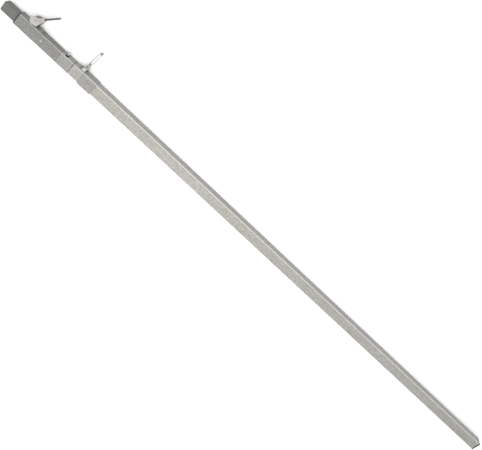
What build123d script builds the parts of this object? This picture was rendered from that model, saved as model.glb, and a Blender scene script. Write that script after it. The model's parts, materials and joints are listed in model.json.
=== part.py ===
"""A telescopic probe pole: three nested square aluminium tubes with a cam-lever lock at each mouth.

Row frame, in millimetres: the origin is the centre of the foot's end face, +X runs along the pole to
the crown end, the way the sections pull out, the levers open towards -Y, and +Z is up from the surface
that the pole lies on. Stations are measured along the pole from the crown end, and heights are measured
outwards from the face that a lever is mounted on.
"""

import os
from math import cos, pi, radians, sin

from build123d import *

# The pole as a whole
COLLAPSED_LENGTH = 1520.0
COLLAR_WIDTH = 28.4

# Nested square tubes
MAIN_WIDTH = 25.0
TUBE_WALL = 1.0
SLIDE_GAP = 0.4
MIDDLE_WIDTH = MAIN_WIDTH - 2 * (TUBE_WALL + SLIDE_GAP)
INNER_WIDTH = MIDDLE_WIDTH - 2 * (TUBE_WALL + SLIDE_GAP)
CORNER_RADIUS = 1.6

# Stations along the pole, from the crown end
CAP_START = 1.2
CAP_WALL_END = 4.0
CAP_MOUTH = 33.5
SLEEVE_START = 34.0
BUSH_FLANGE_END = 36.0
MIDDLE_TUBE_START = 44.0
UPPER_PIVOT = 66.5
SLEEVE_END = 90.8
BAND_END = 140.0
STOP_COLLAR_END = 171.3
MOUTH = 172.5
LOWER_PIVOT = 193.3
COLLAR_START = 198.2
COLLAR_END = 231.4
INNER_TUBE_END = 1460.0
MIDDLE_TUBE_END = 1488.0
MAIN_TUBE_END = COLLAPSED_LENGTH - 4.2

# Travel of the two sliding sections
MIDDLE_TRAVEL = 1140.0
INNER_TRAVEL = 1230.0

# Outer widths of what is fixed on the tubes
SLEEVE_WIDTH = 25.8
BAND_WIDTH = 25.2
STOP_COLLAR_WIDTH = 25.6
STOP_COLLAR_WALL = 1.1
CAP_WIDTH = 21.0
END_ROUNDING = 0.4

# Fasteners
RIVET_RADIUS = 1.5
RIVET_HEAD_RADIUS = 2.6
RIVET_HEAD_HEIGHT = 0.9
PLUG_PIN_RADIUS = 1.5

# The cam-lever locks, closed: heights above the face
SHEET = 1.2
EAR_SHEET = 1.5
PAD_THICKNESS = 1.0
PAD_CLEARANCE = 0.02
WING_UNDERSIDE = 1.45
WING_TOP = 2.3
CAM_GAP = 0.05
LIFT_PER_DEGREE = 0.01
SHOE_LENGTH, SHOE_WIDTH = 10.0, 10.0
SHOE_OFFSET = 1.5
WINDOW_GAP = 0.4

MAIN_FACE = MAIN_WIDTH / 2
SLEEVE_FACE = SLEEVE_WIDTH / 2
LOWER_REACH = MAIN_FACE - MIDDLE_WIDTH / 2
UPPER_REACH = SLEEVE_FACE - INNER_WIDTH / 2
LOWER_PIVOT_HEIGHT = 6.95
UPPER_PIVOT_HEIGHT = 11.0
LOWER_OPEN, LOWER_OPEN_MAX = 83.0, 110.0
UPPER_OPEN = UPPER_OPEN_MAX = 48.8
LOWER_PIN_RADIUS = 1.75
UPPER_SHAFT_RADIUS = 2.0
RUNNING_CLEARANCE = 0.05


def along(station):
    """Row X of a station measured from the crown end."""
    return COLLAPSED_LENGTH - station


def section(station):
    """The cross-section plane at a station: its x is row Y, its y is row Z, and it faces +X."""
    return Plane(origin=(along(station), 0, 0), x_dir=(0, 1, 0), z_dir=(1, 0, 0))


def flat(z, x=0.0, y=0.0):
    """A plane parallel to the ground at a height z above the pole's axis."""
    return Plane(origin=(x, y, z), x_dir=(1, 0, 0), z_dir=(0, 0, 1))


def side(direction, station, z=0.0, out=0.0):
    """A plane on one side of the pole, facing out along direction, at a distance from the axis."""
    away = Vector(*direction)
    origin = Vector(along(station), 0, z) + away * out
    return Plane(origin=origin, x_dir=(1, 0, 0), z_dir=away)


LEVER_SIDE = (0, -1, 0)
BACK_SIDE = (0, 1, 0)
TOP_SIDE = (0, 0, 1)
UNDER_SIDE = (0, 0, -1)


def save(builder, name):
    """Labels a finished piece and writes it as the node of that name."""
    builder.part.label = name
    export_step(builder.part, f"parts/{name}.step")


def sleeve_profile(outer, inner, radius=CORNER_RADIUS):
    """A rounded square ring, drawn in the sketch that is open."""
    RectangleRounded(outer, outer, radius)
    inner_radius = max(radius - (outer - inner) / 2, 0.5)
    RectangleRounded(inner, inner, inner_radius, mode=Mode.SUBTRACT)


def plug_profile(width, radius=1.0):
    RectangleRounded(width, width, radius)


def drill(plane, radius, depth):
    """Cuts a round hole inwards from a plane that faces out of the piece."""
    with Locations(plane):
        Hole(radius, depth)


def cut_window(station, face, depth):
    """Cuts the brake shoe's window inwards from a face on the lever side."""
    with Locations(side(LEVER_SIDE, station - SHOE_OFFSET, out=face)):
        Box(
            SHOE_LENGTH + 2 * WINDOW_GAP,
            SHOE_WIDTH + 2 * WINDOW_GAP,
            depth,
            align=(Align.CENTER, Align.CENTER, Align.MAX),
            mode=Mode.SUBTRACT,
        )


def rivets(placements, head_plane_out, length):
    """Round-headed rivets at (direction, station, z) places, with their heads on a face."""
    with BuildPart() as group:
        for direction, station, z in placements:
            with BuildSketch(side(direction, station, z, head_plane_out)):
                Circle(RIVET_RADIUS)
            extrude(amount=-length)
            with BuildSketch(side(direction, station, z, head_plane_out)):
                Circle(RIVET_HEAD_RADIUS)
            extrude(amount=RIVET_HEAD_HEIGHT)
        crowns = group.faces().filter_by(GeomType.PLANE).filter_by(
            lambda face: abs(face.area - pi * RIVET_HEAD_RADIUS**2) < 0.1
        )
        fillet(crowns.edges(), RIVET_HEAD_HEIGHT * 0.7)
    return group


# ------------------------------------------------------------------ tubes

BRACKET_RIVET_STATION = 180.4
BRACKET_RIVET_Z = 6.0
COLLAR_RIVETS = [(BACK_SIDE, 206.0, 0.0), (BACK_SIDE, 223.6, 0.0)]
LOWER_BRACKET_RIVETS = [
    (LEVER_SIDE, BRACKET_RIVET_STATION, z) for z in (-BRACKET_RIVET_Z, BRACKET_RIVET_Z)
]
UPPER_RIVET_SHIFT = 14.7
UPPER_BRACKET_RIVETS = [
    (LEVER_SIDE, UPPER_PIVOT + shift, 0.0) for shift in (-UPPER_RIVET_SHIFT, UPPER_RIVET_SHIFT)
]
ALL_SIDES = (TOP_SIDE, LEVER_SIDE, BACK_SIDE, UNDER_SIDE)
BAND_RIVET_STATION = 96.1
BAND_RIVETS = [(direction, BAND_RIVET_STATION, 0.0) for direction in ALL_SIDES]
FOOT_SCREW_STATION = 1504.0
FOOT_SCREW_DEPTH = 7.0
FOOT_SCREWS = [(direction, FOOT_SCREW_STATION, 0.0) for direction in (BACK_SIDE, UNDER_SIDE)]
CAP_SCREW = [(BACK_SIDE, 24.0, 0.0)]


def build_main_tube():
    with BuildPart() as tube:
        with BuildSketch(section(MAIN_TUBE_END)):
            sleeve_profile(MAIN_WIDTH, MAIN_WIDTH - 2 * TUBE_WALL)
        extrude(amount=MAIN_TUBE_END - MOUTH)
        cut_window(LOWER_PIVOT, MAIN_FACE, 2 * TUBE_WALL)
        for direction, station, z in COLLAR_RIVETS + LOWER_BRACKET_RIVETS + FOOT_SCREWS:
            drill(side(direction, station, z, MAIN_FACE), RIVET_RADIUS, 2 * TUBE_WALL)
    save(tube, "main_tube")


def build_middle_tube():
    with BuildPart() as tube:
        with BuildSketch(section(MIDDLE_TUBE_END)):
            sleeve_profile(MIDDLE_WIDTH, MIDDLE_WIDTH - 2 * TUBE_WALL)
        extrude(amount=MIDDLE_TUBE_END - MIDDLE_TUBE_START)
        cut_window(UPPER_PIVOT, MIDDLE_WIDTH / 2, 2 * TUBE_WALL)
        for direction, station, z in UPPER_BRACKET_RIVETS + BAND_RIVETS:
            drill(side(direction, station, z, MIDDLE_WIDTH / 2), RIVET_RADIUS, 2 * TUBE_WALL)
        for direction in (TOP_SIDE, UNDER_SIDE):
            pin_plane = side(direction, MIDDLE_TUBE_END - PLUG_PIN_INSET, 0, MIDDLE_WIDTH / 2)
            drill(pin_plane, PLUG_PIN_RADIUS, 2 * TUBE_WALL)
    save(tube, "middle_tube")


def build_inner_tube():
    with BuildPart() as tube:
        with BuildSketch(section(INNER_TUBE_END)):
            sleeve_profile(INNER_WIDTH, INNER_WIDTH - 2 * TUBE_WALL)
        extrude(amount=INNER_TUBE_END - CAP_WALL_END)
        for direction, station, z in CAP_SCREW:
            drill(side(direction, station, z, INNER_WIDTH / 2), RIVET_RADIUS, 2 * TUBE_WALL)
        for direction in (TOP_SIDE, UNDER_SIDE):
            pin_plane = side(direction, INNER_TUBE_END - PLUG_PIN_INSET, 0, INNER_WIDTH / 2)
            drill(pin_plane, PLUG_PIN_RADIUS, 2 * TUBE_WALL)
    save(tube, "inner_tube")


# ------------------------------------------------------------------ plugs, bushes and end pieces

PLUG_PIN_INSET = 7.0
PLUG_DEPTH = 13.0
PLUG_FLANGE = 4.0
PLUG_FIT = 0.1
PLUG_BORE = 11.0
GUIDE_CLEARANCE = 0.05
MOUTH_CLEARANCE = 0.1
BUSH_OPENING = INNER_WIDTH + 2 * MOUTH_CLEARANCE
STOP_BAND_LENGTH = 10.0
FOOT_PLUG_DEPTH = 22.0
FOOT_EDGE = 0.9
RIB_GROOVES = (6.0, 9.0, 15.0, 18.0)
RIB_GROOVE_DEPTH = 0.6
CAP_EDGE = 0.6
CAP_MOUTH_EDGE = 0.4
BUMPER_THICKNESS = 1.0


def guide_width(tube_width):
    """The width that just slides inside the next tube out."""
    return tube_width + 2 * (SLIDE_GAP - GUIDE_CLEARANCE)


def build_slide_plug(name, tube_width, tube_end):
    """A nylon plug in the inboard end of a sliding tube, with a flange that guides it in the next tube."""
    spigot = tube_width - 2 * TUBE_WALL - PLUG_FIT
    with BuildPart() as plug:
        with BuildSketch(section(tube_end)):
            plug_profile(spigot, 0.6)
        extrude(amount=PLUG_DEPTH)
        with BuildSketch(section(tube_end)):
            plug_profile(guide_width(tube_width), 1.2)
        extrude(amount=-PLUG_FLANGE)
        with BuildSketch(section(tube_end)):
            Circle(PLUG_BORE / 2)
        extrude(amount=PLUG_DEPTH, mode=Mode.SUBTRACT)
        with BuildSketch(section(tube_end)):
            Circle(PLUG_BORE / 2)
        extrude(amount=-PLUG_FLANGE, mode=Mode.SUBTRACT)
        drill(side(TOP_SIDE, tube_end - PLUG_PIN_INSET, 0, tube_width), PLUG_PIN_RADIUS, 2 * tube_width)
    save(plug, name)


def build_stop_band(name, tube_width, start):
    """A thin band bonded round a sliding tube, which meets the next tube's mouth at full reach."""
    with BuildPart() as band:
        with BuildSketch(section(start + STOP_BAND_LENGTH)):
            sleeve_profile(guide_width(tube_width), tube_width)
        extrude(amount=STOP_BAND_LENGTH)
    save(band, name)


def build_plug_pin(name, tube_width, tube_end):
    """The cross pin that holds a slide plug in its tube."""
    with BuildPart() as pin:
        with BuildSketch(side(TOP_SIDE, tube_end - PLUG_PIN_INSET, 0, -tube_width / 2)):
            Circle(PLUG_PIN_RADIUS)
        extrude(amount=tube_width)
    save(pin, name)


def build_foot_plug():
    """The rubber foot: a flange as wide as the tube, with a ribbed spigot inside it."""
    spigot = MAIN_WIDTH - 2 * TUBE_WALL - PLUG_FIT
    with BuildPart() as plug:
        with BuildSketch(section(MAIN_TUBE_END)):
            plug_profile(MAIN_WIDTH, CORNER_RADIUS)
        extrude(amount=MAIN_TUBE_END - COLLAPSED_LENGTH)
        fillet(plug.faces().sort_by(Axis.X)[0].edges(), FOOT_EDGE)
        with BuildSketch(section(MAIN_TUBE_END)):
            plug_profile(spigot, 0.6)
        extrude(amount=FOOT_PLUG_DEPTH)
        for depth in RIB_GROOVES:
            with BuildSketch(section(MAIN_TUBE_END - depth)):
                sleeve_profile(spigot, spigot - 2 * RIB_GROOVE_DEPTH, 0.6)
            extrude(amount=1.0, mode=Mode.SUBTRACT)
        for direction, station, z in FOOT_SCREWS:
            drill(side(direction, station, z, MAIN_FACE), RIVET_RADIUS, FOOT_SCREW_DEPTH)
    save(plug, "foot_plug")


def build_mouth_bumper():
    """A nylon ring on the main tube's mouth, which guides the middle tube and meets the stop collar."""
    with BuildPart() as ring:
        with BuildSketch(section(MOUTH)):
            sleeve_profile(MAIN_WIDTH, MIDDLE_WIDTH + 2 * MOUTH_CLEARANCE)
        extrude(amount=BUMPER_THICKNESS)
    save(ring, "mouth_bumper")


def build_upper_guide_bush():
    """A nylon bush in the sleeve's front end, which guides the inner tube and stops its slide plug."""
    with BuildPart() as bush:
        with BuildSketch(section(MIDDLE_TUBE_START)):
            sleeve_profile(MIDDLE_WIDTH, BUSH_OPENING)
        extrude(amount=MIDDLE_TUBE_START - BUSH_FLANGE_END)
        with BuildSketch(section(BUSH_FLANGE_END)):
            sleeve_profile(SLEEVE_WIDTH, BUSH_OPENING)
        extrude(amount=BUSH_FLANGE_END - SLEEVE_START)
        front = bush.faces().sort_by(Axis.X)[-1]
        fillet(front.outer_wire().edges(), END_ROUNDING)
    save(bush, "upper_guide_bush")


def build_end_cap():
    """The moulded cap over the inner tube's outer end, by which the sections are pulled out."""
    with BuildPart() as cap:
        with BuildSketch(section(CAP_MOUTH)):
            plug_profile(CAP_WIDTH, CORNER_RADIUS)
        extrude(amount=CAP_MOUTH - CAP_START)
        fillet(cap.faces().sort_by(Axis.X)[-1].edges(), CAP_EDGE)
        fillet(cap.faces().sort_by(Axis.X)[0].edges(), CAP_MOUTH_EDGE)
        with BuildSketch(section(CAP_MOUTH)):
            RectangleRounded(INNER_WIDTH, INNER_WIDTH, CORNER_RADIUS)
        extrude(amount=CAP_MOUTH - CAP_WALL_END, mode=Mode.SUBTRACT)
        for direction, station, z in CAP_SCREW:
            drill(side(direction, station, z, CAP_WIDTH / 2), RIVET_RADIUS, CAP_WIDTH - INNER_WIDTH)
    save(cap, "end_cap")


def build_crown_pad():
    """The dark rubber pad on the cap's outer end."""
    with BuildPart() as pad:
        with BuildSketch(section(CAP_START)):
            plug_profile(CAP_WIDTH - 2 * CAP_EDGE, CORNER_RADIUS)
        extrude(amount=CAP_START)
        fillet(pad.faces().sort_by(Axis.X)[-1].edges(), CAP_EDGE)
    save(pad, "crown_pad")


# ------------------------------------------------------------------ sleeves and bands

STOP_SLOT_LENGTH, STOP_SLOT_WIDTH = 6.8, 20.0
STOP_SLOT_STATION, STOP_SLOT_Z = 151.0, 1.6
STOP_SCREW_STATION, STOP_SCREW_Z = 149.8, -4.6
STOP_SCREW_RADIUS = 1.1
STOP_SCREW_HEAD_RADIUS = 2.1
STOP_SCREW_HEAD_HEIGHT = 5.6
STOP_SCREW_SLOT, STOP_SCREW_SLOT_DEPTH = 0.8, 1.0
STOP_COLLAR_GAP = 0.3
SLEEVE_WALL = (SLEEVE_WIDTH - MIDDLE_WIDTH) / 2
BAND_WALL = (BAND_WIDTH - MIDDLE_WIDTH) / 2
COLLAR_WALL = (COLLAR_WIDTH - MAIN_WIDTH) / 2


def build_upper_sleeve():
    """The sleeve that joins the upper lock to the middle tube, with the brake shoe's window."""
    with BuildPart() as sleeve:
        with BuildSketch(section(SLEEVE_END)):
            sleeve_profile(SLEEVE_WIDTH, MIDDLE_WIDTH, CORNER_RADIUS + 0.2)
        extrude(amount=SLEEVE_END - BUSH_FLANGE_END)
        fillet(sleeve.faces().sort_by(Axis.X)[0].outer_wire().edges(), END_ROUNDING)
        cut_window(UPPER_PIVOT, SLEEVE_FACE, SLEEVE_WALL + 0.5)
        for direction, station, z in UPPER_BRACKET_RIVETS:
            drill(side(direction, station, z, SLEEVE_FACE), RIVET_RADIUS, SLEEVE_WALL)
    save(sleeve, "upper_sleeve")


def build_grip_band():
    """The plain band behind the sleeve, riveted on all four faces."""
    with BuildPart() as band:
        with BuildSketch(section(BAND_END)):
            sleeve_profile(BAND_WIDTH, MIDDLE_WIDTH)
        extrude(amount=BAND_END - SLEEVE_END)
        for end in (0, -1):
            fillet(band.faces().sort_by(Axis.X)[end].outer_wire().edges(), END_ROUNDING)
        for direction, station, z in BAND_RIVETS:
            drill(side(direction, station, z, BAND_WIDTH / 2), RIVET_RADIUS, BAND_WALL)
    save(band, "grip_band")


def build_stop_collar():
    """The collar that meets the main tube's mouth, with a slot and a pinch screw on the lever side."""
    inner = STOP_COLLAR_WIDTH - 2 * STOP_COLLAR_WALL
    face = STOP_COLLAR_WIDTH / 2
    with BuildPart() as collar:
        with BuildSketch(section(STOP_COLLAR_END)):
            sleeve_profile(STOP_COLLAR_WIDTH, inner)
        extrude(amount=STOP_COLLAR_END - BAND_END - STOP_COLLAR_GAP)
        with BuildSketch(side(LEVER_SIDE, STOP_SLOT_STATION, STOP_SLOT_Z, face)):
            RectangleRounded(STOP_SLOT_LENGTH, STOP_SLOT_WIDTH, 1.2)
        extrude(amount=-2 * STOP_COLLAR_WALL, mode=Mode.SUBTRACT)
        for end in (0, -1):
            fillet(collar.faces().sort_by(Axis.X)[end].outer_wire().edges(), END_ROUNDING)
    save(collar, "stop_collar")


def build_stop_collar_liner():
    """The dark nylon ring between the stop collar and the middle tube, seen through the collar's slot."""
    inner = STOP_COLLAR_WIDTH - 2 * STOP_COLLAR_WALL
    liner_wall = (inner - MIDDLE_WIDTH) / 2
    with BuildPart() as liner:
        with BuildSketch(section(STOP_COLLAR_END)):
            sleeve_profile(inner, MIDDLE_WIDTH, 0.8)
        extrude(amount=STOP_COLLAR_END - BAND_END - STOP_COLLAR_GAP)
        drill(side(LEVER_SIDE, STOP_SCREW_STATION, STOP_SCREW_Z, inner / 2), STOP_SCREW_RADIUS, liner_wall)
    save(liner, "stop_collar_liner")


def build_stop_collar_screw():
    """The nylon pinch screw that stands in the collar's slot, with a screwdriver slot in its head."""
    inner_face = STOP_COLLAR_WIDTH / 2 - STOP_COLLAR_WALL
    head_plane = side(LEVER_SIDE, STOP_SCREW_STATION, STOP_SCREW_Z, inner_face)
    head_height = STOP_COLLAR_WALL + STOP_SCREW_HEAD_HEIGHT
    with BuildPart() as screw:
        with BuildSketch(head_plane):
            Circle(STOP_SCREW_RADIUS)
        extrude(amount=-(inner_face - MIDDLE_WIDTH / 2))
        with BuildSketch(head_plane):
            Circle(STOP_SCREW_HEAD_RADIUS)
        extrude(amount=head_height)
        fillet(screw.faces().sort_by(Axis.Y)[0].edges(), 0.6)
        with BuildSketch(head_plane.offset(head_height)):
            Rectangle(STOP_SCREW_SLOT, 3 * STOP_SCREW_HEAD_RADIUS)
        extrude(amount=-STOP_SCREW_SLOT_DEPTH, mode=Mode.SUBTRACT)
    save(screw, "stop_collar_screw")


def build_collar():
    """The raised collar behind the lower lock, which stiffens the main tube's mouth."""
    with BuildPart() as collar:
        with BuildSketch(section(COLLAR_END)):
            sleeve_profile(COLLAR_WIDTH, MAIN_WIDTH, CORNER_RADIUS + 0.6)
        extrude(amount=COLLAR_END - COLLAR_START)
        for end in (0, -1):
            fillet(collar.faces().sort_by(Axis.X)[end].outer_wire().edges(), END_ROUNDING)
        for direction, station, z in COLLAR_RIVETS:
            drill(side(direction, station, z, COLLAR_WIDTH / 2), RIVET_RADIUS, COLLAR_WALL)
    save(collar, "collar")


def build_rivet_groups():
    cap_wall = (CAP_WIDTH - INNER_WIDTH) / 2
    for name, places, face, length in (
        ("lower_bracket_rivets", LOWER_BRACKET_RIVETS, MAIN_FACE + SHEET, SHEET + TUBE_WALL),
        ("upper_bracket_rivets", UPPER_BRACKET_RIVETS, SLEEVE_FACE + SHEET, SHEET + SLEEVE_WALL + TUBE_WALL),
        ("collar_rivets", COLLAR_RIVETS, COLLAR_WIDTH / 2, COLLAR_WALL + TUBE_WALL),
        ("grip_band_rivets", BAND_RIVETS, BAND_WIDTH / 2, BAND_WALL + TUBE_WALL),
        ("foot_screws", FOOT_SCREWS, MAIN_FACE, FOOT_SCREW_DEPTH),
        ("cap_screw", CAP_SCREW, CAP_WIDTH / 2, cap_wall + TUBE_WALL),
    ):
        save(rivets(places, face, length), name)


# ------------------------------------------------------------------ brackets, shoes and springs

LEAF = 0.2
LEAF_GAP = 0.03
LEAF_REACH = 4.4
LEAF_SIDE_GAP = 0.2
LOWER_WING_HALF = 8.8
UPPER_WING_HALF = 7.8
LOWER_EAR_BASE = 9.6
UPPER_EAR_BASE = 10.0
EAR_CROWN = 3.9
LOWER_BRACKET_HALF = 12.1
LOWER_BRACKET_BASE = (17.2, 4.8)
UPPER_BRACKET_BASE = (19.0, 19.0)


def build_bracket(name, station, face, pivot_height, half_width, base, ear_base, places, bore):
    """A folded channel on a face: its base has the shoe's window, and its two ears carry the pivot.

    base gives how far the base reaches from the pivot, to the crown end and to the foot.
    """
    centre = along(station)
    to_crown, to_foot = base
    with BuildPart() as bracket:
        with BuildSketch(flat(-half_width)):
            with Locations((centre + (to_crown - to_foot) / 2, -face - SHEET / 2)):
                Rectangle(to_crown + to_foot, SHEET)
        extrude(amount=2 * half_width)
        for inner_face in (half_width - EAR_SHEET, -half_width):
            with BuildSketch(flat(inner_face)):
                with Locations((centre, -face - SHEET / 2)):
                    Rectangle(ear_base, SHEET)
                with Locations((centre, -face - pivot_height)):
                    Circle(EAR_CROWN)
                make_hull()
            extrude(amount=EAR_SHEET)
        base_edges = bracket.edges().filter_by(Axis.X).group_by(Axis.Y)[-1]
        fillet(base_edges, SHEET * 0.8)
        cut_window(station, face + SHEET, 2 * SHEET)
        drill(flat(half_width, centre, -face - pivot_height), bore, 2 * half_width)
        for direction, place, z in places:
            drill(side(direction, place, z, face + SHEET), RIVET_RADIUS, 2 * SHEET)
    save(bracket, name)


def build_shoe(name, station, face, reach, wing_half, opening):
    """The brake shoe and its pad: wings above the bracket's base, and a body that reaches through it."""
    lift = LIFT_PER_DEGREE * opening
    pad_bottom = PAD_CLEARANCE - reach + lift
    centre = station - SHOE_OFFSET
    with BuildPart() as shoe:
        with BuildSketch(side(LEVER_SIDE, centre, 0, face + pad_bottom + PAD_THICKNESS)):
            Rectangle(SHOE_LENGTH, SHOE_WIDTH)
        extrude(amount=WING_TOP + lift - pad_bottom - PAD_THICKNESS)
        with BuildSketch(side(LEVER_SIDE, centre, 0, face + WING_UNDERSIDE + lift)):
            Rectangle(SHOE_LENGTH, 2 * wing_half)
        extrude(amount=WING_TOP - WING_UNDERSIDE)
    save(shoe, name)
    with BuildPart() as pad:
        with BuildSketch(side(LEVER_SIDE, centre, 0, face + pad_bottom)):
            Rectangle(SHOE_LENGTH, SHOE_WIDTH)
        extrude(amount=PAD_THICKNESS)
    save(pad, f"{name}_pad")


def build_shoe_spring(name, station, face, wing_half, opening):
    """Two bowed leaf springs, one under each of the shoe's wings, which lift the shoe as the lever opens."""
    foot_y = -face - SHEET - LEAF_GAP
    crown_y = -face - WING_UNDERSIDE - LIFT_PER_DEGREE * opening + LEAF_GAP + LEAF
    centre = along(station - SHOE_OFFSET)
    low, high = centre - LEAF_REACH, centre + LEAF_REACH
    inner_z = SHOE_WIDTH / 2 + WINDOW_GAP + LEAF_SIDE_GAP
    outer_z = wing_half - LEAF_SIDE_GAP
    with BuildPart() as spring:
        for near_z in (inner_z, -outer_z):
            with BuildSketch(flat(near_z)):
                with BuildLine():
                    ThreePointArc((low, foot_y), (centre, crown_y), (high, foot_y))
                    Line((high, foot_y), (high, foot_y - LEAF))
                    ThreePointArc((high, foot_y - LEAF), (centre, crown_y - LEAF), (low, foot_y - LEAF))
                    Line((low, foot_y - LEAF), (low, foot_y))
                make_face()
            extrude(amount=outer_z - inner_z)
    save(spring, name)


# ------------------------------------------------------------------ levers


def lever_plane(station, pivot_y, opening, z):
    """A lever's own plane: x runs along the lever from its pivot, y away from the tube when it is closed."""
    turn = radians(opening)
    return Plane(
        origin=(along(station), pivot_y, z),
        x_dir=(-cos(turn), -sin(turn), 0),
        z_dir=(0, 0, 1),
    )


def cam_points(closed_radius, opening_max):
    """The cam's working edge, a spiral that gives the same lift for every degree of opening."""
    steps = 8
    points = []
    for step in range(steps + 1):
        opening = opening_max * step / steps
        radius = closed_radius - LIFT_PER_DEGREE * opening
        bearing = radians(-90 - opening)
        points.append((radius * cos(bearing), radius * sin(bearing)))
    return points


def cam_outline(closed_radius, opening_max, back_radius):
    """The closed outline of a cam: the working spiral, and one arc round the back."""
    edge = cam_points(closed_radius, opening_max)
    back = (back_radius * cos(radians(45)), back_radius * sin(radians(45)))
    with BuildLine() as outline:
        Spline(*edge)
        ThreePointArc(edge[-1], back, edge[0])
    return outline.line


LOWER_HUB_HALF = 9.8
LOWER_CAM_BACK = 4.0
TANG_END, TANG_DEPTH, TANG_WIDTH = 9.0, 3.4, 4.2
FERRULE_START, FERRULE_END = 5.0, 12.0
FERRULE_DEPTH, FERRULE_WIDTH = 5.2, 6.4
LOOP_START, LOOP_END = 10.0, 49.8
LOOP_ROOT_DEPTH, LOOP_DEPTH, LOOP_WIDTH = 3.6, 6.0, 5.0
LOOP_SHOULDER = 15.0
LOOP_STRIP = 1.1
LOOP_TIP = 6.0


def build_lower_lever():
    """The slim lever: a wide cam hub, a ferrule on its tang, and a handle folded into a long loop."""
    pivot_y = -MAIN_FACE - LOWER_PIVOT_HEIGHT

    def plane(z):
        return lever_plane(LOWER_PIVOT, pivot_y, LOWER_OPEN, z)

    closed_radius = LOWER_PIVOT_HEIGHT - WING_TOP - CAM_GAP
    with BuildPart() as lever:
        with BuildSketch(plane(-LOWER_HUB_HALF)):
            add(cam_outline(closed_radius, LOWER_OPEN_MAX, LOWER_CAM_BACK))
            make_face()
        extrude(amount=2 * LOWER_HUB_HALF)
        with BuildSketch(plane(-TANG_WIDTH / 2)):
            with Locations((TANG_END / 2, 0)):
                Rectangle(TANG_END, TANG_DEPTH)
        extrude(amount=TANG_WIDTH)
        drill(plane(LOWER_HUB_HALF), LOWER_PIN_RADIUS + RUNNING_CLEARANCE, 2 * LOWER_HUB_HALF)
    save(lever, "lower_lever")

    root, half, tip = LOOP_ROOT_DEPTH / 2, LOOP_DEPTH / 2, LOOP_END - LOOP_DEPTH / 2
    slot_start, slot_end = LOOP_SHOULDER - LOOP_STRIP, LOOP_END - LOOP_TIP
    with BuildPart() as loop:
        with BuildSketch(plane(-LOOP_WIDTH / 2)):
            with BuildLine():
                Polyline(
                    (tip, half), (LOOP_SHOULDER, half), (FERRULE_END, root), (LOOP_START, root),
                    (LOOP_START, -root), (FERRULE_END, -root), (LOOP_SHOULDER, -half), (tip, -half),
                )
                ThreePointArc((tip, -half), (LOOP_END, 0), (tip, half))
            make_face()
            with Locations(((slot_start + slot_end) / 2, 0)):
                SlotOverall(slot_end - slot_start, LOOP_DEPTH - 2 * LOOP_STRIP, mode=Mode.SUBTRACT)
        extrude(amount=LOOP_WIDTH)
    save(loop, "lower_lever_loop")

    with BuildPart() as ferrule:
        with BuildSketch(plane(-FERRULE_WIDTH / 2)):
            with Locations(((FERRULE_START + FERRULE_END) / 2, 0)):
                Rectangle(FERRULE_END - FERRULE_START, FERRULE_DEPTH)
        extrude(amount=FERRULE_WIDTH)
        fillet(ferrule.edges(), 0.7)
        with BuildSketch(plane(-TANG_WIDTH / 2)):
            with Locations(((FERRULE_START + TANG_END) / 2, 0)):
                Rectangle(TANG_END - FERRULE_START, TANG_DEPTH)
        extrude(amount=TANG_WIDTH, mode=Mode.SUBTRACT)
        with BuildSketch(plane(-LOOP_WIDTH / 2)):
            with Locations(((LOOP_START + FERRULE_END) / 2, 0)):
                Rectangle(FERRULE_END - LOOP_START, LOOP_ROOT_DEPTH)
        extrude(amount=LOOP_WIDTH, mode=Mode.SUBTRACT)
    save(ferrule, "lower_lever_ferrule")


UPPER_EAR_HALF = 9.7
UPPER_CAM_BACK = 5.0
CHEEK_INNER, CHEEK_OUTER = 10.3, 11.8
TAPER_START, TAPER_END = 5.4, 11.4
TAPER_INNER = 8.0
BLOCK_START, NOSE = 7.6, 15.8
NOSE_HALF = 7.0
STRAP_START, STRAP_END = 9.6, 46.4
STRAP_LOW, STRAP_HIGH = -1.1, 2.1
STRAP_HALF = 5.9


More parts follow.
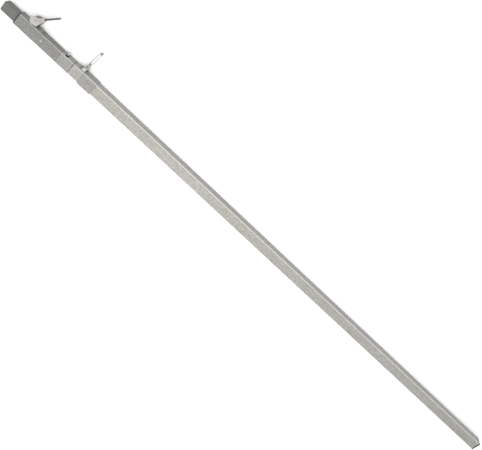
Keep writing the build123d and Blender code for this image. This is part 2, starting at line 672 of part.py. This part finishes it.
def build_upper_lever():
    """The broad lever: two cheeks outside the bracket's ears, which meet in a nose that holds the strap."""
    pivot_y = -SLEEVE_FACE - UPPER_PIVOT_HEIGHT

    def plane(z):
        return lever_plane(UPPER_PIVOT, pivot_y, UPPER_OPEN, z)

    across = plane(0)
    plan = Plane(origin=across.origin, x_dir=across.x_dir, z_dir=across.y_dir)
    strap_middle = ((STRAP_START + STRAP_END) / 2, (STRAP_LOW + STRAP_HIGH) / 2)
    strap_size = (STRAP_END - STRAP_START, STRAP_HIGH - STRAP_LOW)
    with BuildPart() as lever:
        with BuildSketch(plane(-CHEEK_OUTER)):
            with BuildLine():
                Line((NOSE, -2.2), (6.0, -6.4))
                ThreePointArc((6.0, -6.4), (1.4, -8.4), (-3.6, -9.4))
                Line((-3.6, -9.4), (-11.2, -3.6))
                ThreePointArc((-11.2, -3.6), (-12.9, 1.4), (-11.0, 6.6))
                ThreePointArc((-11.0, 6.6), (-5.0, 9.0), (1.6, 7.4))
                ThreePointArc((1.6, 7.4), (8.4, 4.1), (NOSE, 2.9))
                Line((NOSE, 2.9), (NOSE, -2.2))
            make_face()
        extrude(amount=2 * CHEEK_OUTER)
        with BuildSketch(plan.offset(-2 * CHEEK_OUTER)):
            for turn in (-1, 1):
                with BuildLine():
                    Polyline(
                        (TAPER_START, turn * 2 * CHEEK_OUTER),
                        (TAPER_START, turn * CHEEK_OUTER),
                        (TAPER_END, turn * NOSE_HALF),
                        (2 * NOSE, turn * NOSE_HALF),
                        (2 * NOSE, turn * 2 * CHEEK_OUTER),
                        close=True,
                    )
                make_face()
        extrude(amount=4 * CHEEK_OUTER, mode=Mode.SUBTRACT)
        fillet(lever.edges(), 0.6)
        for end, half in ((TAPER_START, CHEEK_INNER), (BLOCK_START, TAPER_INNER)):
            with BuildSketch(plane(-half)):
                with Locations((end - NOSE, 0)):
                    Rectangle(2 * NOSE, 4 * CHEEK_OUTER)
            extrude(amount=2 * half, mode=Mode.SUBTRACT)
        with BuildSketch(plane(-STRAP_HALF)):
            with Locations(strap_middle):
                Rectangle(*strap_size)
        extrude(amount=2 * STRAP_HALF, mode=Mode.SUBTRACT)
        drill(plane(CHEEK_OUTER), UPPER_SHAFT_RADIUS, 2 * CHEEK_OUTER)
    save(lever, "upper_lever")

    with BuildPart() as strap:
        with BuildSketch(plane(-STRAP_HALF)):
            with Locations(strap_middle):
                Rectangle(*strap_size)
        extrude(amount=2 * STRAP_HALF)
        fillet(strap.faces().sort_by(Axis.Y)[0].edges(), 1.0)
    save(strap, "upper_lever_handle")

    closed_radius = UPPER_PIVOT_HEIGHT - WING_TOP - CAM_GAP
    cam_half = UPPER_EAR_HALF - EAR_SHEET - 0.4
    with BuildPart() as cam:
        with BuildSketch(plane(-cam_half)):
            add(cam_outline(closed_radius, UPPER_OPEN_MAX, UPPER_CAM_BACK))
            make_face()
        extrude(amount=2 * cam_half)
        drill(plane(cam_half), UPPER_SHAFT_RADIUS, 2 * cam_half)
    save(cam, "upper_cam")


def build_pin(name, station, pivot_y, radius, half_length, head_radius, head_height):
    """A headed pin across the pole, parallel to Z."""
    with BuildPart() as pin:
        with BuildSketch(flat(-half_length, along(station), pivot_y)):
            Circle(radius)
        extrude(amount=2 * half_length)
        with BuildSketch(flat(half_length, along(station), pivot_y)):
            Circle(head_radius)
        extrude(amount=head_height)
        fillet(pin.faces().sort_by(Axis.Z)[-1].edges(), head_height * 0.6)
        with BuildSketch(flat(-half_length, along(station), pivot_y)):
            Circle(head_radius)
        extrude(amount=-head_height)
        fillet(pin.faces().sort_by(Axis.Z)[0].edges(), head_height * 0.6)
    save(pin, name)


def build_washers(name, station, pivot_y, bore, inner_face, thickness):
    """One washer at each side of the lever's hub."""
    with BuildPart() as washers:
        for z in (inner_face, -inner_face - thickness):
            with BuildSketch(flat(z, along(station), pivot_y)):
                Circle(WASHER_RADIUS)
                Circle(bore, mode=Mode.SUBTRACT)
            extrude(amount=thickness)
    save(washers, name)


WASHER_RADIUS = 3.4
WASHER_THICKNESS = 0.6
WASHER_GAP = 0.1
LOWER_PIN_HEAD_RADIUS, UPPER_SHAFT_HEAD_RADIUS = 3.0, 3.2
PIN_HEAD_HEIGHT = 0.9


def build_locks():
    """The two cam-lever locks: bracket, shoe, springs, lever and pivot of each."""
    build_bracket(
        "lower_bracket", LOWER_PIVOT, MAIN_FACE, LOWER_PIVOT_HEIGHT, LOWER_BRACKET_HALF,
        LOWER_BRACKET_BASE, LOWER_EAR_BASE, LOWER_BRACKET_RIVETS, LOWER_PIN_RADIUS,
    )
    build_bracket(
        "upper_bracket", UPPER_PIVOT, SLEEVE_FACE, UPPER_PIVOT_HEIGHT, UPPER_EAR_HALF,
        UPPER_BRACKET_BASE, UPPER_EAR_BASE, UPPER_BRACKET_RIVETS, UPPER_SHAFT_RADIUS + RUNNING_CLEARANCE,
    )
    build_shoe("lower_shoe", LOWER_PIVOT, MAIN_FACE, LOWER_REACH, LOWER_WING_HALF, LOWER_OPEN)
    build_shoe("upper_shoe", UPPER_PIVOT, SLEEVE_FACE, UPPER_REACH, UPPER_WING_HALF, UPPER_OPEN)
    build_shoe_spring("lower_shoe_spring", LOWER_PIVOT, MAIN_FACE, LOWER_WING_HALF, LOWER_OPEN)
    build_shoe_spring("upper_shoe_spring", UPPER_PIVOT, SLEEVE_FACE, UPPER_WING_HALF, UPPER_OPEN)
    build_lower_lever()
    build_upper_lever()
    lower_y = -MAIN_FACE - LOWER_PIVOT_HEIGHT
    upper_y = -SLEEVE_FACE - UPPER_PIVOT_HEIGHT
    build_pin(
        "lower_pivot_pin", LOWER_PIVOT, lower_y, LOWER_PIN_RADIUS, LOWER_BRACKET_HALF,
        LOWER_PIN_HEAD_RADIUS, PIN_HEAD_HEIGHT,
    )
    build_pin(
        "upper_cam_shaft", UPPER_PIVOT, upper_y, UPPER_SHAFT_RADIUS, CHEEK_OUTER,
        UPPER_SHAFT_HEAD_RADIUS, PIN_HEAD_HEIGHT,
    )
    build_washers(
        "lower_pivot_washers", LOWER_PIVOT, lower_y, LOWER_PIN_RADIUS,
        LOWER_HUB_HALF + WASHER_GAP, WASHER_THICKNESS,
    )


os.makedirs("parts", exist_ok=True)
build_main_tube()
build_middle_tube()
build_inner_tube()
build_slide_plug("middle_slide_plug", MIDDLE_WIDTH, MIDDLE_TUBE_END)
build_slide_plug("inner_slide_plug", INNER_WIDTH, INNER_TUBE_END)
build_stop_band("middle_stop_band", MIDDLE_WIDTH, MOUTH + MIDDLE_TRAVEL)
build_stop_band("inner_stop_band", INNER_WIDTH, MIDDLE_TUBE_START + INNER_TRAVEL)
build_plug_pin("middle_plug_pin", MIDDLE_WIDTH, MIDDLE_TUBE_END)
build_plug_pin("inner_plug_pin", INNER_WIDTH, INNER_TUBE_END)
build_foot_plug()
build_mouth_bumper()
build_upper_guide_bush()
build_end_cap()
build_crown_pad()
build_upper_sleeve()
build_grip_band()
build_stop_collar()
build_stop_collar_liner()
build_stop_collar_screw()
build_collar()
build_rivet_groups()
build_locks()
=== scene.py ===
"""The look of the telescopic probe pole: camera, light, floor and a procedural material for every piece."""

import json
from math import cos, radians, sin

import bpy
from mathutils import Matrix, Vector


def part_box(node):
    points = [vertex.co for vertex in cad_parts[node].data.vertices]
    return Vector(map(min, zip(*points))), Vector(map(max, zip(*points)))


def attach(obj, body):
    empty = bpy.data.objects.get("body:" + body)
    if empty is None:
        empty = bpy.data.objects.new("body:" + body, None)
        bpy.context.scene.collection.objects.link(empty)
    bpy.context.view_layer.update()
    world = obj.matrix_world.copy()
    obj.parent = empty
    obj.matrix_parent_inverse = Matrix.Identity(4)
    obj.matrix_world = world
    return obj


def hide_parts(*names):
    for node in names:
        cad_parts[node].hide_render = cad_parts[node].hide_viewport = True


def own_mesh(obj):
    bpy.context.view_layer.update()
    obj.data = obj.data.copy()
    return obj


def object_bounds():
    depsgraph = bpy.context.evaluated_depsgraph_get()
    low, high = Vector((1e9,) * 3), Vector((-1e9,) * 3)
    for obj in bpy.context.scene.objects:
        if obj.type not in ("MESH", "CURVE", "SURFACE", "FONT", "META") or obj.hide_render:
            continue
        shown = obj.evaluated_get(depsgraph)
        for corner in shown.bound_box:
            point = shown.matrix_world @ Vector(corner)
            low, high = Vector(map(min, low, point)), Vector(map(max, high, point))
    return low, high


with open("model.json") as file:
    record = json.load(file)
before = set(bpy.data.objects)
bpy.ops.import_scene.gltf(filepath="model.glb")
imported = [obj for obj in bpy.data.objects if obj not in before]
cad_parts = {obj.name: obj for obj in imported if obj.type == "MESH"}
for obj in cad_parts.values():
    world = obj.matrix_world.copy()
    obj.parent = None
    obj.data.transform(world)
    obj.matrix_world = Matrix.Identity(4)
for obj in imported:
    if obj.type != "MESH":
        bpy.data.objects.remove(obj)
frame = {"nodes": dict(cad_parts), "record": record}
cad_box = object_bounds()

NODES = frame["nodes"]
RECORD = frame["record"]

# ------------------------------------------------------------------ camera

VIEW_SHIFT = 0.6589         # where the middle of the picture meets the pole, measured from the crown end
VIEW_DISTANCE = 1.2938
POLE_TILT = radians(13.6)   # how far the foot end leans away from the camera
POLE_TURN = radians(22.0)   # how far the pole is turned about itself, to show the lever side
POLE_SLANT = radians(43.04)  # how far the pole slants down to the right in the picture
LENS_MM = 42.8
SENSOR_MM = 36.0


def add_camera():
    """Looks down on the pole from its lever side, with the crown end nearer."""
    toward = Vector((
        sin(POLE_TILT),
        -sin(POLE_TURN) * cos(POLE_TILT),
        cos(POLE_TURN) * cos(POLE_TILT),
    ))
    along = Vector((
        -cos(POLE_TILT),
        -sin(POLE_TURN) * sin(POLE_TILT),
        cos(POLE_TURN) * sin(POLE_TILT),
    ))
    across = Vector((0, -cos(POLE_TURN), -sin(POLE_TURN)))
    right = cos(POLE_SLANT) * along + sin(POLE_SLANT) * across
    up = cos(POLE_SLANT) * across - sin(POLE_SLANT) * along
    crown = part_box("end_cap")[1].x
    place = Vector((crown - VIEW_SHIFT, 0, 0)) + VIEW_DISTANCE * toward
    data = bpy.data.cameras.new("camera")
    data.lens = LENS_MM
    data.sensor_width = SENSOR_MM
    camera = bpy.data.objects.new("camera", data)
    camera.matrix_world = Matrix.Translation(place) @ Matrix((right, up, toward)).transposed().to_4x4()
    bpy.context.scene.collection.objects.link(camera)
    bpy.context.scene.camera = camera


# ------------------------------------------------------------------ material helpers


def new_material(name):
    """A material with its shader, and the row-frame position in metres that its patterns are drawn in."""
    material = bpy.data.materials.new(name)
    material.use_nodes = True
    tree = material.node_tree
    shader = tree.nodes["Principled BSDF"]
    position = tree.nodes.new("ShaderNodeTexCoord").outputs["Object"]
    return material, tree, shader, position


def noise(tree, position, size, stretch=(1, 1, 1), detail=4.0):
    """Noise with features of about the given size in metres, stretched along the axes."""
    mapping = tree.nodes.new("ShaderNodeMapping")
    mapping.inputs["Scale"].default_value = [1 / (size * factor) for factor in stretch]
    tree.links.new(position, mapping.inputs["Vector"])
    texture = tree.nodes.new("ShaderNodeTexNoise")
    texture.inputs["Scale"].default_value = 1.0
    texture.inputs["Detail"].default_value = detail
    tree.links.new(mapping.outputs["Vector"], texture.inputs["Vector"])
    return texture.outputs["Fac"]


def ramp(tree, factor, stops):
    """A colour ramp with (place, colour) stops; a colour may be one grey level."""
    node = tree.nodes.new("ShaderNodeValToRGB")
    elements = node.color_ramp.elements
    while len(elements) < len(stops):
        elements.new(0.5)
    for element, (place, colour) in zip(elements, stops):
        element.position = place
        rgb = (colour,) * 3 if isinstance(colour, (int, float)) else colour
        element.color = (*rgb, 1.0)
    tree.links.new(factor, node.inputs["Fac"])
    return node.outputs["Color"]


def add_bump(tree, shader, height, depth, strength=1.0):
    bump = tree.nodes.new("ShaderNodeBump")
    bump.inputs["Distance"].default_value = depth
    bump.inputs["Strength"].default_value = strength
    tree.links.new(height, bump.inputs["Height"])
    tree.links.new(bump.outputs["Normal"], shader.inputs["Normal"])


def edge_wear(tree, radius):
    """1 on worn edges and 0 on flat surfaces, from how much the normal turns within a radius."""
    bevel = tree.nodes.new("ShaderNodeBevel")
    bevel.samples = 4
    bevel.inputs["Radius"].default_value = radius
    geometry = tree.nodes.new("ShaderNodeNewGeometry")
    dot = tree.nodes.new("ShaderNodeVectorMath")
    dot.operation = "DOT_PRODUCT"
    tree.links.new(bevel.outputs["Normal"], dot.inputs[0])
    tree.links.new(geometry.outputs["Normal"], dot.inputs[1])
    return ramp(tree, dot.outputs["Value"], [(0.90, 1.0), (0.995, 0.0)])


def mix(tree, factor, first, second):
    node = tree.nodes.new("ShaderNodeMix")
    node.data_type = "RGBA"
    tree.links.new(factor, node.inputs["Factor"])
    for socket, colour in ((node.inputs["A"], first), (node.inputs["B"], second)):
        if isinstance(colour, bpy.types.NodeSocket):
            tree.links.new(colour, socket)
        else:
            socket.default_value = (*colour, 1.0)
    return node.outputs["Result"]


# ------------------------------------------------------------------ materials


METAL_BUMP = 0.00001


def painted_corner_highlight(tree):
    """Painted highlight: 1 on a square tube's rounded corners and 0 on its flat faces, from the direction that
    the surface faces; it brightens the corners in the base colour where light glances off them.
    """
    normal = tree.nodes.new("ShaderNodeNewGeometry").outputs["Normal"]
    parts = tree.nodes.new("ShaderNodeSeparateXYZ")
    tree.links.new(normal, parts.inputs["Vector"])
    product = tree.nodes.new("ShaderNodeMath")
    product.operation = "MULTIPLY"
    tree.links.new(parts.outputs["Y"], product.inputs[0])
    tree.links.new(parts.outputs["Z"], product.inputs[1])
    size = tree.nodes.new("ShaderNodeMath")
    size.operation = "ABSOLUTE"
    tree.links.new(product.outputs["Value"], size.inputs[0])
    return ramp(tree, size.outputs["Value"], [(0.16, 0.0), (0.42, 1.0)])


def metal(name, dark, light, bright, roughness, grain, grain_stretch, metallic, mottle=1.0, corners=False):
    """Worked metal: fine grain along the work, clouding, specks and stains, and brighter worn edges; with
    corners, a painted highlight along a square tube's rounded corners.
    """
    material, tree, shader, position = new_material(name)
    clouds = noise(tree, position, 0.03, (4, 1, 1), 3.0)
    tint = ramp(tree, clouds, [(0.3, dark), (0.7, light)])
    specks = noise(tree, position, 0.0016, (2, 1, 1), 3.0)
    specks = ramp(tree, specks, [(0.40, 0.0), (0.66, 0.42 * mottle)])
    mottled = mix(tree, specks, tint, bright)
    stains = noise(tree, position, 0.0022, (2, 1, 1), 3.0)
    stains = ramp(tree, stains, [(0.42, 0.0), (0.72, 0.5 * mottle)])
    mottled = mix(tree, stains, mottled, [0.45 * level for level in dark])
    colour = mix(tree, edge_wear(tree, 0.0004), mottled, bright)
    # corners: painted highlight, the rounded tube corners are mixed toward the bright colour
    if corners:
        colour = mix(tree, painted_corner_highlight(tree), colour, bright)
    tree.links.new(colour, shader.inputs["Base Color"])
    lines = noise(tree, position, grain, grain_stretch, 5.0)
    low, high = roughness
    tree.links.new(ramp(tree, lines, [(0.3, low), (0.7, high)]), shader.inputs["Roughness"])
    shader.inputs["Metallic"].default_value = metallic
    shader.inputs["Specular IOR Level"].default_value = 0.12
    add_bump(tree, shader, lines, METAL_BUMP)
    return material


BRUSHED = (90, 1, 1)    # grain drawn out along the pole
EVEN = (1, 1, 1)


def tube_aluminium(name):
    dark, light, bright = (0.236, 0.225, 0.205), (0.262, 0.252, 0.233), (0.60, 0.60, 0.58)
    return metal(name, dark, light, bright, (0.36, 0.46), 0.0004, BRUSHED, 0.1, corners=True)


def collar_aluminium(name):
    dark, light, bright = (0.208, 0.201, 0.190), (0.232, 0.226, 0.215), (0.46, 0.46, 0.45)
    return metal(name, dark, light, bright, (0.40, 0.50), 0.0004, (30, 1, 1), 0.05, corners=True)


def dull_aluminium(name):
    dark, light, bright = (0.156, 0.152, 0.146), (0.186, 0.182, 0.176), (0.36, 0.36, 0.35)
    return metal(name, dark, light, bright, (0.46, 0.60), 0.0005, (3, 1, 1), 0.05, corners=True)


def lever_metal(name):
    dark, light, bright = (0.30, 0.288, 0.262), (0.42, 0.415, 0.40), (0.66, 0.67, 0.70)
    return metal(name, dark, light, bright, (0.28, 0.44), 0.0006, EVEN, 0.15, mottle=0.25)


def zinc_steel(name):
    dark, light, bright = (0.28, 0.28, 0.27), (0.37, 0.37, 0.36), (0.72, 0.72, 0.72)
    return metal(name, dark, light, bright, (0.20, 0.34), 0.0005, EVEN, 0.5, mottle=0.3)


def bracket_steel(name):
    dark, light, bright = (0.16, 0.16, 0.16), (0.22, 0.22, 0.22), (0.55, 0.55, 0.56)
    return metal(name, dark, light, bright, (0.30, 0.42), 0.0005, EVEN, 0.35)


def spring_steel(name):
    dark, light, bright = (0.38, 0.39, 0.41), (0.46, 0.47, 0.49), (0.75, 0.75, 0.77)
    return metal(name, dark, light, bright, (0.16, 0.28), 0.0004, (20, 1, 1), 0.7, mottle=0.3)


def brass_plate(name):
    dark, light, bright = (0.20, 0.19, 0.14), (0.28, 0.27, 0.21), (0.60, 0.58, 0.48)
    return metal(name, dark, light, bright, (0.28, 0.42), 0.0005, EVEN, 0.3, mottle=0.4)


def moulded(name, dark, light, worn, roughness, texture_size, depth):
    """Moulded plastic or rubber: a fine spark-eroded texture, faint clouding and paler worn edges."""
    material, tree, shader, position = new_material(name)
    clouds = noise(tree, position, 0.012, detail=3.0)
    tint = ramp(tree, clouds, [(0.3, dark), (0.7, light)])
    tree.links.new(mix(tree, edge_wear(tree, 0.0005), tint, worn), shader.inputs["Base Color"])
    texture = noise(tree, position, texture_size, detail=6.0)
    low, high = roughness
    tree.links.new(ramp(tree, texture, [(0.3, low), (0.7, high)]), shader.inputs["Roughness"])
    shader.inputs["Specular IOR Level"].default_value = 0.25
    add_bump(tree, shader, texture, depth)
    return material


def cap_plastic(name):
    return moulded(
        name, (0.098, 0.099, 0.088), (0.132, 0.133, 0.120), (0.22, 0.22, 0.20),
        (0.46, 0.60), 0.0006, 0.00004,
    )


def handle_plastic(name):
    return moulded(
        name, (0.060, 0.046, 0.038), (0.090, 0.070, 0.060), (0.22, 0.18, 0.16),
        (0.34, 0.48), 0.0006, 0.00003,
    )


def loop_plastic(name):
    return moulded(
        name, (0.17, 0.175, 0.17), (0.25, 0.255, 0.25), (0.46, 0.47, 0.47),
        (0.30, 0.44), 0.0006, 0.00003,
    )


def foot_rubber(name):
    return moulded(
        name, (0.006, 0.006, 0.006), (0.010, 0.010, 0.010), (0.02, 0.02, 0.02),
        (0.60, 0.78), 0.0008, 0.00005,
    )


def pad_rubber(name):
    return moulded(
        name, (0.030, 0.029, 0.028), (0.045, 0.044, 0.042), (0.07, 0.07, 0.07),
        (0.66, 0.82), 0.0005, 0.00006,
    )


def nylon(name):
    return moulded(
        name, (0.46, 0.45, 0.42), (0.54, 0.53, 0.50), (0.68, 0.67, 0.65),
        (0.38, 0.50), 0.0008, 0.00003,
    )


def black_nylon(name):
    # Painted shade: near-black, darker than real black nylon, for a piece seen through the slot so that the slot
    # reads as a dark hollow.
    return moulded(
        name, (0.006, 0.006, 0.006), (0.011, 0.011, 0.011), (0.03, 0.03, 0.03),
        (0.50, 0.64), 0.0007, 0.00003,
    )


def shoe_nylon(name):
    return moulded(
        name, (0.035, 0.035, 0.036), (0.055, 0.055, 0.056), (0.10, 0.10, 0.10),
        (0.36, 0.50), 0.0007, 0.00003,
    )


FINISHES = {
    "tube_aluminium": tube_aluminium,
    "dull_aluminium": dull_aluminium,
    "lever_metal": lever_metal,
    "zinc_steel": zinc_steel,
    "brass_plate": brass_plate,
    "loop_plastic": loop_plastic,
    "spring_steel": spring_steel,
    "cap_plastic": cap_plastic,
    "handle_plastic": handle_plastic,
    "foot_rubber": foot_rubber,
    "pad_rubber": pad_rubber,
    "nylon": nylon,
    "black_nylon": black_nylon,
    "shoe_nylon": shoe_nylon,
}


SPECIAL_FINISHES = {
    "collar": collar_aluminium,
    "stop_collar": collar_aluminium,
    "lower_bracket": bracket_steel,
    "upper_bracket": bracket_steel,
}


def finish_nodes():
    """Gives every CAD node the finish of its slot in the record, or its own where it differs from the slot's."""
    made = {slot: make(slot) for slot, make in FINISHES.items()}
    own = {name: make(name + "_finish") for name, make in SPECIAL_FINISHES.items()}
    for subpart in RECORD["subparts"]:
        name = subpart["node"]
        for slot in NODES[name].material_slots:
            slot.material = own.get(name, made[subpart["material_slot"]])
    return made


# ------------------------------------------------------------------ leaf springs

LEAF = 0.0002
LEAF_INNER_Z = 0.0056
LEAF_STEPS = 12


def leaf_spring(node, body, finish):
    """A pair of bowed strips in place of a CAD spring, fixed in their bowed shape; the real leaves flatten as the
    lever closes.
    """
    low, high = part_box(node)
    reach = (high.x - low.x) / 2
    middle = (high.x + low.x) / 2
    bow = high.y - low.y - LEAF
    vertices, faces = [], []
    for z_near, z_far in ((LEAF_INNER_Z, high.z), (low.z, -LEAF_INNER_Z)):
        first = len(vertices)
        for step in range(LEAF_STEPS + 1):
            place = -1 + 2 * step / LEAF_STEPS
            y = high.y - bow * (1 - place * place)
            for rise in (0, LEAF):
                for z in (z_near, z_far):
                    vertices.append((middle + reach * place, y - rise, z))
        for step in range(LEAF_STEPS):
            ring = first + 4 * step
            after = ring + 4
            for here, there in ((0, 1), (1, 3), (3, 2), (2, 0)):
                faces.append((ring + here, ring + there, after + there, after + here))
        last = first + 4 * LEAF_STEPS
        faces.append((first, first + 2, first + 3, first + 1))
        faces.append((last, last + 1, last + 3, last + 2))
    mesh = bpy.data.meshes.new(node + "_leaves")
    mesh.from_pydata(vertices, [], faces)
    mesh.materials.append(finish)
    piece = bpy.data.objects.new(node + "_leaves", mesh)
    bpy.context.scene.collection.objects.link(piece)
    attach(piece, body)
    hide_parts(node)
    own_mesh(piece)


# ------------------------------------------------------------------ stage and light

FLOOR_SIZE = 14.0
FLOOR_COLOUR = (0.88, 0.88, 0.88, 1.0)


def add_floor():
    """A plain pale floor under the pole."""
    mesh = bpy.data.meshes.new("floor")
    half = FLOOR_SIZE / 2
    height = cad_box[0][2]
    corners = [(-half, -half, height), (half, -half, height), (half, half, height), (-half, half, height)]
    mesh.from_pydata(corners, [], [(0, 1, 2, 3)])
    floor = bpy.data.objects.new("floor", mesh)
    bpy.context.scene.collection.objects.link(floor)
    material = bpy.data.materials.new("floor")
    material.use_nodes = True
    shader = material.node_tree.nodes["Principled BSDF"]
    shader.inputs["Base Color"].default_value = FLOOR_COLOUR
    shader.inputs["Roughness"].default_value = 0.9
    shader.inputs["Specular IOR Level"].default_value = 0.1
    mesh.materials.append(material)


def add_area_light(name, place, target, size, power, colour):
    data = bpy.data.lights.new(name, "AREA")
    data.shape = "DISK"
    data.size = size
    data.energy = power
    data.color = colour
    light = bpy.data.objects.new(name, data)
    light.location = place
    light.rotation_euler = (Vector(target) - Vector(place)).to_track_quat("-Z", "Y").to_euler()
    bpy.context.scene.collection.objects.link(light)


def add_lights():
    """Soft light from all round, with a broad key over the locks."""
    world = bpy.data.worlds.new("world")
    world.use_nodes = True
    background = world.node_tree.nodes["Background"]
    background.inputs["Color"].default_value = (0.965, 0.975, 1.0, 1.0)
    background.inputs["Strength"].default_value = 0.9
    bpy.context.scene.world = world
    middle = Vector((cad_box[1][0] - 0.52, 0, 0))
    add_area_light("key", middle + Vector((0, 0, 1.5)), middle, 1.6, 25.0, (1.0, 0.985, 0.955))


add_camera()
finishes = finish_nodes()
leaf_spring("lower_shoe_spring", "main_section", finishes["spring_steel"])
leaf_spring("upper_shoe_spring", "middle_section", finishes["spring_steel"])
add_floor()
add_lights()
bpy.context.scene.view_settings.view_transform = "Standard"
